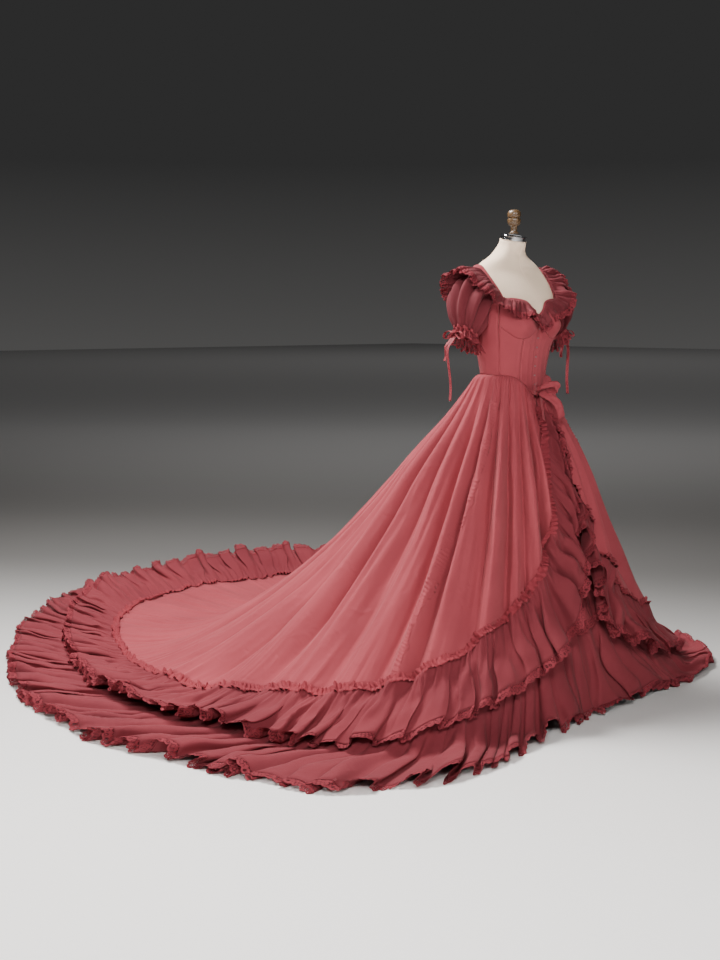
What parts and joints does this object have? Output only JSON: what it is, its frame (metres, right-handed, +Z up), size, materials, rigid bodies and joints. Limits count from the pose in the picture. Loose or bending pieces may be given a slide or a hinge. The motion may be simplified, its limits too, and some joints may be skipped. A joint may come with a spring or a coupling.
{
  "type": "tiered dress on a dress form",
  "caption": "Long-trained off-shoulder gown with boned bodice, puffed sleeves, pleated overskirt split in front and lace-edged flounces, on a limbless dress form",
  "frame": {"origin": "on the floor, at the middle of the underside of the form's base", "axes": "+Z up, -Y the way the wearer faces, +Y along the train, -X the wearer's right"},
  "size_m": [2.5836, 2.8541, 1.5826],
  "materials": {
    "gown_cloth": "matt cotton, dusty rose red",
    "lace": "cotton lace, same red as the cloth",
    "linen": "unbleached linen cover",
    "turned_wood": "oiled, turned",
    "bright_steel": "polished",
    "dark_steel": "satin black"
  },
  "bodies": {
    "root": {"form_body": "linen", "form_neck_cap": "bright_steel", "form_finial": "turned_wood", "form_pole": "dark_steel", "form_base": "dark_steel", "placket_right": "gown_cloth", "cup_right": "gown_cloth", "front_panel_right": "gown_cloth", "princess_panel_right": "gown_cloth", "side_panel_right": "gown_cloth", "back_panel_right": "gown_cloth", "strap_right": "gown_cloth", "placket_left": "gown_cloth", "cup_left": "gown_cloth", "front_panel_left": "gown_cloth", "princess_panel_left": "gown_cloth", "side_panel_left": "gown_cloth", "back_panel_left": "gown_cloth", "strap_left": "gown_cloth", "busk_clasp_1": "bright_steel", "busk_clasp_2": "bright_steel", "busk_clasp_3": "bright_steel", "busk_clasp_4": "bright_steel", "busk_clasp_5": "bright_steel", "busk_clasp_6": "bright_steel", "busk_clasp_7": "bright_steel", "neck_ruffle_right": "lace", "neck_ruffle_left": "lace", "sleeve_right": "gown_cloth", "cuff_frill_right": "lace", "tie_knot_right": "gown_cloth", "tie_loop_fore_right": "gown_cloth", "tie_loop_aft_right": "gown_cloth", "tie_tail_fore_right": "gown_cloth", "tie_tail_aft_right": "gown_cloth", "sleeve_left": "gown_cloth", "cuff_frill_left": "lace", "tie_knot_left": "gown_cloth", "tie_loop_fore_left": "gown_cloth", "tie_loop_aft_left": "gown_cloth", "tie_tail_fore_left": "gown_cloth", "tie_tail_aft_left": "gown_cloth", "underskirt_right": "gown_cloth", "underskirt_left": "gown_cloth", "lower_flounce_right": "gown_cloth", "lower_flounce_left": "gown_cloth", "tier_top": "gown_cloth", "tier_middle": "gown_cloth", "overskirt_right": "gown_cloth", "overskirt_left": "gown_cloth", "upper_flounce_right": "gown_cloth", "upper_flounce_left": "gown_cloth", "bow_knot": "gown_cloth", "bow_loop_right": "gown_cloth", "bow_tail_right": "gown_cloth", "bow_loop_left": "gown_cloth", "bow_tail_left": "gown_cloth"}
  },
  "joints": []
}
